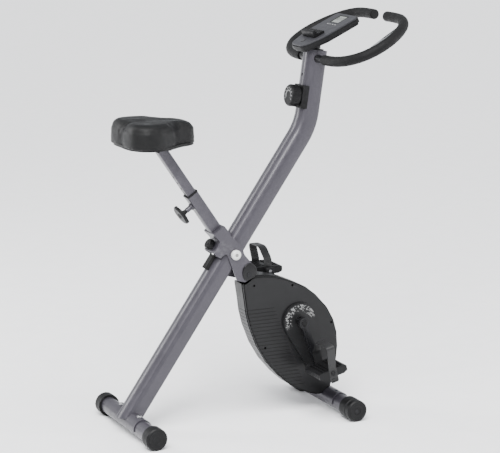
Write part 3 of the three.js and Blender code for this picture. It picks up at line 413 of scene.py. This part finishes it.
# ------------------------------------------------------------------ camera, floor, light
cam_data = bpy.data.cameras.new("camera")
cam = bpy.data.objects.new("camera", cam_data)
bpy.context.scene.collection.objects.link(cam)
azimuth, elevation, distance = rad(-25.34), rad(11.66), 5.357
aim = Vector((FEET + 0.0616, 0, 0.5449))
level = math.cos(elevation)
backward = Vector((math.sin(azimuth) * level, -math.cos(azimuth) * level, math.sin(elevation)))
cam.location = aim + backward * distance
cam.rotation_euler = (-backward).to_track_quat("-Z", "Y").to_euler()
cam_data.lens, cam_data.sensor_width = 138.7, 36
cam_data.clip_end = 60
bpy.context.scene.camera = cam

bm = bmesh.new()
bmesh.ops.create_grid(bm, x_segments=2, y_segments=2, size=45)
me = bpy.data.meshes.new("floor")
bm.to_mesh(me)
bm.free()
floor = bpy.data.objects.new("floor", me)
bpy.context.scene.collection.objects.link(floor)
floor_mat = grained("floor", (0.9, 0.9, 0.91), 0.75, 0, 60, 0.0002, 0.01)
me.materials.append(floor_mat.mat)

world = bpy.data.worlds.new("studio")
bpy.context.scene.world = world
world.use_nodes = True
world.node_tree.nodes["Background"].inputs[0].default_value = (0.93, 0.96, 1, 1)
world.node_tree.nodes["Background"].inputs[1].default_value = 0.7


def lamp(name, pos, target, size, power, color=(1, 1, 1)):
    d = bpy.data.lights.new(name, "AREA")
    d.shape, d.size, d.size_y, d.energy, d.color = "RECTANGLE", size[0], size[1], power, color
    o = bpy.data.objects.new(name, d)
    bpy.context.scene.collection.objects.link(o)
    o.location = pos
    o.rotation_euler = (Vector(target) - Vector(pos)).to_track_quat("-Z", "Y").to_euler()


lamp("key", (-1.6, -2.2, 2.8), (0, 0, 0.5), (1.2, 1.2), 110)
lamp("side", (2.8, -1.6, 1.6), (0, 0, 0.5), (0.9, 2.0), 60)
lamp("rim", (-2.4, 2.2, 1.9), (0, 0, 0.6), (1.0, 2.0), 70)
sun = bpy.data.objects.new("sun", bpy.data.lights.new("sun", "SUN"))
bpy.context.scene.collection.objects.link(sun)
sun.data.energy, sun.data.angle = 5.5, rad(50)
sun.rotation_euler = (rad(25), rad(-15), 0)

# ------------------------------------------------------------------ saddle


def bake(o):
    """Modifiers applied to the mesh."""
    dg = bpy.context.evaluated_depsgraph_get()
    me = bpy.data.meshes.new_from_object(o.evaluated_get(dg), preserve_all_data_layers=False, depsgraph=dg)
    me.polygons.foreach_set("use_smooth", [True] * len(me.polygons))
    o.modifiers.clear()
    o.data = me
    if not me.materials:
        me.materials.append(MATS["saddle_cover"])


CLOTH_FRAMES = 20
CLOTH_CAP = 0.005          # furthest a vertex may move


def saddle():
    """Padded saddle: two rear lobes with a cleft between them, waist and nose, over the pan."""
    lo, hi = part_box("saddle_pad")
    c, l, w, h = (lo + hi) / 2, (hi.x - lo.x) / 2, (hi.y - lo.y) / 2, hi.z - lo.z
    half = [(1, 0), (0.965, 0.2), (0.82, 0.37), (0.47, 0.5), (0.1, 0.8), (-0.3, 0.98), (-0.65, 0.96),
            (-0.92, 0.72), (-0.985, 0.38), (-0.955, 0.06)]
    pts = half + [(-0.953, 0)] + [(x, -y) for x, y in reversed(half[1:])]
    plan = spline([(x * l, y * w, 0) for x, y in pts], 96, True)
    core = Vector((-0.1 * l, 0, 0))
    bm = bmesh.new()
    # Each level: how far in from the outline (metres) and the height.
    levels = [(0.008, 0.0), (0.003, 0.0), (0.002, 0.004), (0.004, 0.4 * h), (0.005, 0.66 * h),
              (0.008, 0.8 * h), (0.014, 0.905 * h), (0.024, 0.96 * h), (0.040, 0.98 * h)]
    rings = []
    for inset, z in levels:
        ring = []
        for p in plan:
            d = p - core
            q = core + d * max(1 - inset / max(d.length, 1e-6), 0.1)
            ring.append(bm.verts.new((c.x + q.x, c.y + q.y, lo.z + z)))
        rings.append(ring)
    for f in (0.6, 0.4, 0.2):
        rings.append([bm.verts.new((c.x + (core + (p - core) * f).x, c.y + (p * f).y, lo.z + 0.98 * h))
                      for p in plan])
    under = [bm.verts.new((q.co.x, q.co.y, lo.z + 0.006)) for q in rings[0]]
    skin(bm, [under, *rings])

    def shape(v):
        """Dip along the middle and at the waist, droop to the nose."""
        x, y, z = (v.x - c.x) / l, (v.y - c.y) / w, (v.z - lo.z) / h
        t = max(z - 0.5, 0) / 0.5
        dip = 0.004 * math.exp(-(y / 0.16) ** 2) * (1 if x < 0.2 else max(1 - (x - 0.2) / 0.5, 0))
        droop = 0.010 * max(x - 0.1, 0) ** 1.4 + 0.005 * max(-0.75 - x, 0) / 0.25
        lobe = 0.003 * math.exp(-((abs(y) - 0.55) / 0.3) ** 2) * (1 if x < 0 else 0)
        v.z += t * (lobe - dip - droop)

    for v in bm.verts:
        shape(v.co)
    o = piece("saddle_cover", bm, MATS["saddle_cover"], "saddle_post")
    rm = o.modifiers.new("remesh", "REMESH")
    rm.mode, rm.voxel_size, rm.use_smooth_shade = "VOXEL", 0.0048, True
    bake(o)
    start = [v.co.copy() for v in o.data.vertices]
    cl = o.modifiers.new("cloth", "CLOTH")
    s = cl.settings
    s.use_pressure, s.uniform_pressure_force = True, 4
    s.effector_weights.gravity = 0
    s.tension_stiffness = s.compression_stiffness = 20
    s.shear_stiffness, s.bending_stiffness = 12, 3
    cl.point_cache.frame_start, cl.point_cache.frame_end = 1, CLOTH_FRAMES
    sc = bpy.context.scene
    sc.frame_start, sc.frame_end = 1, CLOTH_FRAMES
    for f in range(1, CLOTH_FRAMES + 1):
        sc.frame_set(f)
    bake(o)
    for v, a in zip(o.data.vertices, start):
        d = v.co - a
        if d.length > CLOTH_CAP:
            v.co = a + d.normalized() * CLOTH_CAP
    sc.frame_set(1)
    # Sewn seams: two channels round the side, one down the cleft, and slight wrinkles.
    centre = Vector((c.x + core.x, c.y, lo.z + 0.4 * h))
    for v in o.data.vertices:
        p = v.co
        z = (p.z - lo.z) / h
        y = (p.y - c.y) / w
        n = noise.noise(Vector((p.x * 30, p.y * 30, p.z * 60)))
        out = (p - centre).normalized()
        groove = 0.0014 * math.exp(-((z - 0.79) / 0.035) ** 2) + 0.0013 * math.exp(-((z - 0.16) / 0.04) ** 2)
        cleft = 0.0012 * math.exp(-(y / 0.035) ** 2) * (1 if p.x < c.x - 0.6 * l else 0)
        p -= out * (groove + cleft)
        p += out * 0.0003 * n * (1 if z > 0.2 else 0)
        p.z = min(max(p.z, lo.z - 0.001), hi.z + 0.004)
        p.y = min(max(p.y, lo.y - 0.002), hi.y + 0.002)
        p.x = min(max(p.x, lo.x - 0.002), hi.x + 0.002)
    sub = o.modifiers.new("smooth", "SUBSURF")
    sub.levels = sub.render_levels = 1
    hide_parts("saddle_pad")


saddle()

# ------------------------------------------------------------------ foam grips
lo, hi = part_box("handlebar")
BAR_TILT, BAR_DEEP, BAR_HALF = 27.1, 0.238, 0.222
ct, st = math.cos(rad(BAR_TILT)), math.sin(rad(BAR_TILT))
bar_o = Vector(((lo.x + hi.x) / 2 - BAR_DEEP * ct / 2, 0, (lo.z + hi.z) / 2 - BAR_DEEP * st / 2))
BAR = side_frame(bar_o, BAR_TILT)
half = [(0, 0.2), (0, 0.4), (0.02, 0.6), (0.08, 0.78), (0.2, 0.93), (0.36, 1), (0.55, 0.99), (0.73, 0.91),
        (0.89, 0.76), (0.98, 0.56), (1, 0.36), (1, 0.155)]
loop = [(x * BAR_DEEP, -y * BAR_HALF, 0) for x, y in reversed(half)]
loop += [(x * BAR_DEEP, y * BAR_HALF, 0) for x, y in half]
STEPS = 160
line = [BAR @ p for p in spline(loop, STEPS)]
up = BAR.to_3x3() @ Vector((0, 0, 1))
foam_r, bar_r = 0.0143, 0.0113


def grip_ring(bm, p, along, radius):
    """Ring of 28 vertices round the bar."""
    side = along.cross(up).normalized()
    return circle(bm, 1, 28, lambda u, v: p + radius * (u * side + v * up))


for i0, i1, w in ((0, STEPS * 14 // 32, "right"), (STEPS * 18 // 32, STEPS, "left")):
    bm = bmesh.new()
    part = line[i0:i1 + 1]
    ends = [(0.0, 0.0118), (0.0, 0.0131), (0.0007, 0.0139), (0.002, foam_r)]
    t0, t1 = (part[1] - part[0]).normalized(), (part[-1] - part[-2]).normalized()
    stations = [(part[0] + t0 * s, t0, r) for s, r in ends]
    for j in range(1, len(part) - 1):
        along = (part[j + 1] - part[j - 1]).normalized()
        stations.append((part[j], along, foam_r * (1 + 0.008 * math.sin(j * 1.7))))
    stations += [(part[-1] - t1 * s, t1, r) for s, r in reversed(ends)]
    rings = [grip_ring(bm, p, t, r) for p, t, r in stations]
    skin(bm, rings, close=False)
    # Inner wall, on the bar.
    for ring, p, t, way in ((rings[0], part[0], t0, 1), (rings[-1], part[-1], t1, -1)):
        inner = [grip_ring(bm, at, t, bar_r) for at in (p, p + t * 0.01 * way)]
        skin(bm, [ring, *inner], close=False)
    g = piece(f"foam_{w}", bm, MATS["grip_foam"], "main_frame")
    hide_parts(f"grip_{w}")

# ------------------------------------------------------------------ knobs
POST = 81.7
knob_axis = Vector((-math.sin(rad(POST)), 0, math.cos(rad(POST))))
along_post = Vector((math.cos(rad(POST)), 0, math.sin(rad(POST))))


def ribs(name, centre, axis, cross, r, length, n, w, d, body, material="black_plastic"):
    """Ribs round a knob."""
    bm = bmesh.new()
    other = axis.cross(cross)
    for i in range(n):
        a = 2 * math.pi * i / n
        u = math.cos(a) * cross + math.sin(a) * other
        v = axis.cross(u)
        m = Matrix((u, v, axis)).transposed().to_4x4()
        m.translation = centre
        block(bm, m, r - 0.002, r + d, -w / 2, w / 2, 0, length)
    soften(piece(name, bm, MATS[material], body), 0.0005)


def face_middle(node, axis):
    """Middle of a round piece's outermost face along axis."""
    verts = NODES[node].data.vertices
    far = max(v.co.dot(axis) for v in verts)
    rim = {tuple(round(x, 5) for x in v.co) for v in verts if v.co.dot(axis) > far - 0.0004}
    return sum((Vector(p) for p in rim), Vector()) / len(rim)


face = face_middle("tension_knob", knob_axis)
ribs("knob_ribs", face - knob_axis * 0.0235, knob_axis, along_post, 0.0297, 0.0195, 30, 0.0028, 0.0009,
     "tension_knob")
bm = bmesh.new()
for i in range(9):                                    # scale marks round the face
    a = rad(-120 + 30 * i)
    u = math.cos(a) * along_post + math.sin(a) * Vector((0, 1, 0))
    m = Matrix((u, knob_axis.cross(u), knob_axis)).transposed().to_4x4()
    m.translation = face
    block(bm, m, 0.0175, 0.0225, -0.0008, 0.0008, -0.0002, 0.0003)
for i in range(28):                                   # arc under them, growing wider
    a0, a1 = rad(-120 + 240 * i / 28), rad(-120 + 240 * (i + 1) / 28)
    wide = 0.0007 + 0.0025 * i / 28
    corners = []
    for a, r in ((a0, 0.0145), (a1, 0.0145), (a1, 0.0145 - wide), (a0, 0.0145 - wide)):
        u = math.cos(a) * along_post + math.sin(a) * Vector((0, 1, 0))
        corners.append(bm.verts.new(face + u * r + knob_axis * 0.0003))
    bm.faces.new(corners)
piece("knob_marks", bm, PRINT, "tension_knob")

# Disc knobs of the two pins: scalloped edges.
for node, angle, r, length, back, n, rib_w in (("height_pin", 124.3, 0.0285, 0.005, 0.004, 8, 0.010),
                                               ("lock_pin", 55.3, 0.0145, 0.009, 0.005, 12, 0.0032)):
    axis = Vector((-math.sin(rad(angle)), 0, math.cos(rad(angle))))
    c = face_middle(node, axis)
    cross = Vector((0, 1, 0))
    ribs(f"{node}_grip", c - axis * (length + back), axis, cross, r, length, n, rib_w, 0.0009, node)
    bm = bmesh.new()
    m = Matrix((cross, axis.cross(cross), axis)).transposed().to_4x4()
    m.translation = c
    steps = ((0.008, -0.0003), (0.008, 0.0008), (0.0066, 0.0012), (0.0058, 0.0004))
    skin(bm, [circle(bm, w, 24, lambda u, v: m @ Vector((u, v, h))) for w, h in steps])
    piece(f"{node}_button", bm, MATS["black_plastic"], node)

# ------------------------------------------------------------------ pedals and straps
for w, s, tilt, rise in (("right", -1, 14, 0.095), ("left", 1, 0, 0.062)):
    e = mid(f"spindle_{w}")
    m = side_frame(Vector((e.x, 0, e.z)), tilt)
    y0, y1, t = 0.071, 0.159, 0.011
    body = f"pedal_{w}"
    bm = bmesh.new()
    for x in (-0.025, -0.015, 0.015, 0.025):          # ridges between the tread slots
        for k in range(7):
            y = y0 + 0.014 + 0.010 * k
            across = sorted((s * (y - 0.003), s * (y + 0.003)))
            block(bm, m, x - 0.0015, x + 0.0015, *across, t - 0.0005, t + 0.0008)
    for x in (-0.0448, 0.0448):                       # ribs on the ends
        for k in range(8):
            y = y0 + 0.010 + 0.0097 * k
            across = sorted((s * (y - 0.0014), s * (y + 0.0014)))
            block(bm, m, min(x, x * 0.975), max(x, x * 0.975), *across, -0.005, 0.007)
    soften(piece(f"tread_{w}", bm, MATS["pedal_plastic"], body), 0.0004, 1)
    # Strap: ladder of slots, filled with dark blocks of painted shade, and bars down the outer leg.
    yo = y1 - 0.0015
    a, b = Vector((0, s * (yo + 0.022), rise * 0.97)), Vector((0, s * yo, t + 0.006))
    c = Vector((0, s * yo, -t - 0.014))
    run = [a.lerp(b, f) for f in (0.18, 0.34, 0.5, 0.66, 0.82)] + [b.lerp(c, f) for f in (0.78, 0.95)]
    bm = bmesh.new()
    bar = bmesh.new()
    for i, p in enumerate(run):
        d = (b - a).normalized() if i < 5 else (c - b).normalized()
        n = Vector((1, 0, 0)).cross(d).normalized()
        q = Matrix((Vector((1, 0, 0)), d, n)).transposed().to_4x4()
        q.translation = p
        q = m @ q
        block(bm, q, -0.0085, 0.0085, -0.0016, 0.0016, -0.00125, 0.00125)
        block(bar, q, -0.0105, 0.0105, 0.0030, 0.0046, -0.0017, 0.0017)
    piece(f"strap_slots_{w}", bm, SLOT_SHADE, body)
    soften(piece(f"strap_bars_{w}", bar, MATS["strap_rubber"], body), 0.0004, 1)
    # Screws under the pedal and a hub over the spindle's end.
    bm = bmesh.new()
    for x in (-0.030, 0.030):
        for y in (y0 + 0.006, y1 - 0.006):
            a = m @ Vector((x, s * y, -t - 0.0004))
            rounded_bar(bm, a, a + m.to_3x3() @ Vector((0, 0, 0.003)), 0.0022)
    piece(f"pedal_screws_{w}", bm, MATS["steel"], body)
    bm = bmesh.new()
    a = m @ Vector((0, s * (y1 - 0.0035), 0))
    rounded_bar(bm, a, a + Vector((0, s * 0.004, 0)), 0.0075, 20)
    piece(f"pedal_hub_{w}", bm, MATS["pedal_plastic"], body)

# Cover caps over the crank's middle.
for w, s in (("right", -1), ("left", 1)):
    lo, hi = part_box(f"crank_{w}")
    y = lo.y if s < 0 else hi.y
    bm = bmesh.new()
    steps = ((0.0098, -0.0004), (0.0098, 0.0012), (0.0085, 0.0021), (0.005, 0.0024))
    skin(bm, [circle(bm, r, 28, lambda u, v: (HUB.x + u, y + s * d, HUB.z + v)) for r, d in steps])
    piece(f"crank_cap_{w}", bm, MATS["black_plastic"], "crank_set")

# ------------------------------------------------------------------ console
TILT = 25.4
ex = Vector((math.cos(rad(TILT)), 0, math.sin(rad(TILT))))
ez = Vector((-math.sin(rad(TILT)), 0, math.cos(rad(TILT))))
lcd = mid("console_lcd")
top_d = max(v.co.dot(ez) for v in NODES["console_lcd"].data.vertices)
face_d = max(v.co.dot(ez) for v in NODES["console_face"].data.vertices)
cm = Matrix((ex, Vector((0, 1, 0)), ez)).transposed().to_4x4()


def on_console(x, y, d):
    """Frame on the console, x and y from the middle of the display, d the height of the surface."""
    m = cm.copy()
    m.translation = ex * (lcd.dot(ex) + x) + Vector((0, y, 0)) + ez * d
    return m


bm = bmesh.new()
# Strokes of a zero: place along and across, and whether it stands upright.
zero = ((1, 0, False), (0.5, 0.5, True), (-0.5, 0.5, True),
        (-1, 0, False), (-0.5, -0.5, True), (0.5, -0.5, True))
for k in range(4):                                    # plain counter on the display
    base = on_console(0.004, 0.0145 - 0.0095 * k - (0.002 if k > 1 else -0.001), top_d)
    for x, y, upright in zero:
        cx, cy = x * 0.006, -y * 0.0055
        hx, hy = (0.0026, 0.0007) if upright else (0.0007, 0.0024)
        block(bm, base, cx - hx, cx + hx, cy - hy, cy + hy, -0.0001, 0.0001)
piece("display_digits", bm, INK, "main_frame")
bm = bmesh.new()
for y in (-0.021, -0.007, 0.007, 0.021):              # blank marks beside the display
    block(bm, on_console(-0.028, y, face_d), -0.0012, 0.0012, -0.004, 0.004, -0.0001, 0.00015)
piece("face_marks", bm, PRINT, "main_frame")
bm = bmesh.new()
frame_w, lx, ly = 0.0016, 0.0193, 0.0243
for x0, x1, y0, y1 in ((-lx, lx, ly - frame_w, ly), (-lx, lx, -ly, -ly + frame_w),
                       (-lx, -lx + frame_w, -ly, ly), (lx - frame_w, lx, -ly, ly)):
    block(bm, on_console(0, 0, face_d), x0, x1, y0, y1, -0.0004, 0.0006)
soften(piece("display_frame", bm, MATS["black_plastic"], "main_frame"), 0.0003, 1)
# Rubber strips where a phone rests.
bm = bmesh.new()
x = mid("phone_ledge").dot(ex) - lcd.dot(ex)
for k in range(7):
    strip = on_console(0, -0.030 + 0.010 * k, face_d)
    block(bm, strip, x + 0.0005, x + 0.0150, -0.0016, 0.0016, 0.0062, 0.0079)
soften(piece("rest_strips", bm, MATS["stop_rubber"], "main_frame"), 0.0004, 1)

# ------------------------------------------------------------------ feet
for node, body in (("rear_foot_cap_right", "main_frame"), ("rear_foot_cap_left", "main_frame"),
                   ("wheel_right", "wheel_right"), ("wheel_left", "wheel_left")):
    lo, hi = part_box(node)
    s = -1 if hi.y < 0 else 1
    y = lo.y if s < 0 else hi.y
    c = mid(node)
    bm = bmesh.new()
    wheel = node.startswith("wheel")
    for r0, r1 in (((0.0215, 0.0235),) if wheel else ((0.021, 0.0225), (0.010, 0.0112))):
        steps = ((r0, -0.0004), (r0, 0.0005), (r1, 0.0005), (r1, -0.0004))
        rings = [circle(bm, r, 40, lambda u, v: (c.x + u, y + s * d, c.z + v)) for r, d in steps]
        skin(bm, rings, close=False)
    piece(f"{node}_rings", bm, MATS["foot_plastic"], body)

# Moulded caps over the lower lobe of the bracket, round the lug bolt.
LUG = mid("lug_bolt")
blo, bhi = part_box("pivot_bracket")
leg = (FRONT - PIVOT).normalized()
norm = Vector((-leg.z, 0, leg.x))
outline = [(-22, -10), (-6, -18), (6, -17), (12.3, -4), (12.3, 17), (3, 25.5), (-13, 28), (-26, 22), (-30, 5)]
for w, s in (("right", -1), ("left", 1)):
    y = blo.y if s < 0 else bhi.y
    bm, rings = bmesh.new(), []
    plan = spline([(u / 1000, v / 1000, 0) for u, v in outline], 60, True)
    for scale, d in ((1.0, 0.0003), (1.0, 0.0022), (0.965, 0.0034), (0.9, 0.0038)):
        rings.append([bm.verts.new(LUG + leg * q.x * scale + norm * q.y * scale + Vector((0, y + s * d, 0)))
                      for q in plan])
    skin(bm, rings)
    piece(f"lug_cap_{w}", bm, MATS["housing_plain"], "front_frame")

# Nuts of the clamp bolts under the saddle.
c = mid("saddle_clamp")
bm = bmesh.new()
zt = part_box("saddle_clamp")[1].z
for x in (-0.045, 0.045):
    for y in (-0.024, 0.024):
        a = Vector((c.x + x, y, zt - 0.0052))
        rounded_bar(bm, a, a + Vector((0, 0, 0.004)), 0.0048, 6)
piece("saddle_nuts", bm, MATS["steel"], "saddle_post")
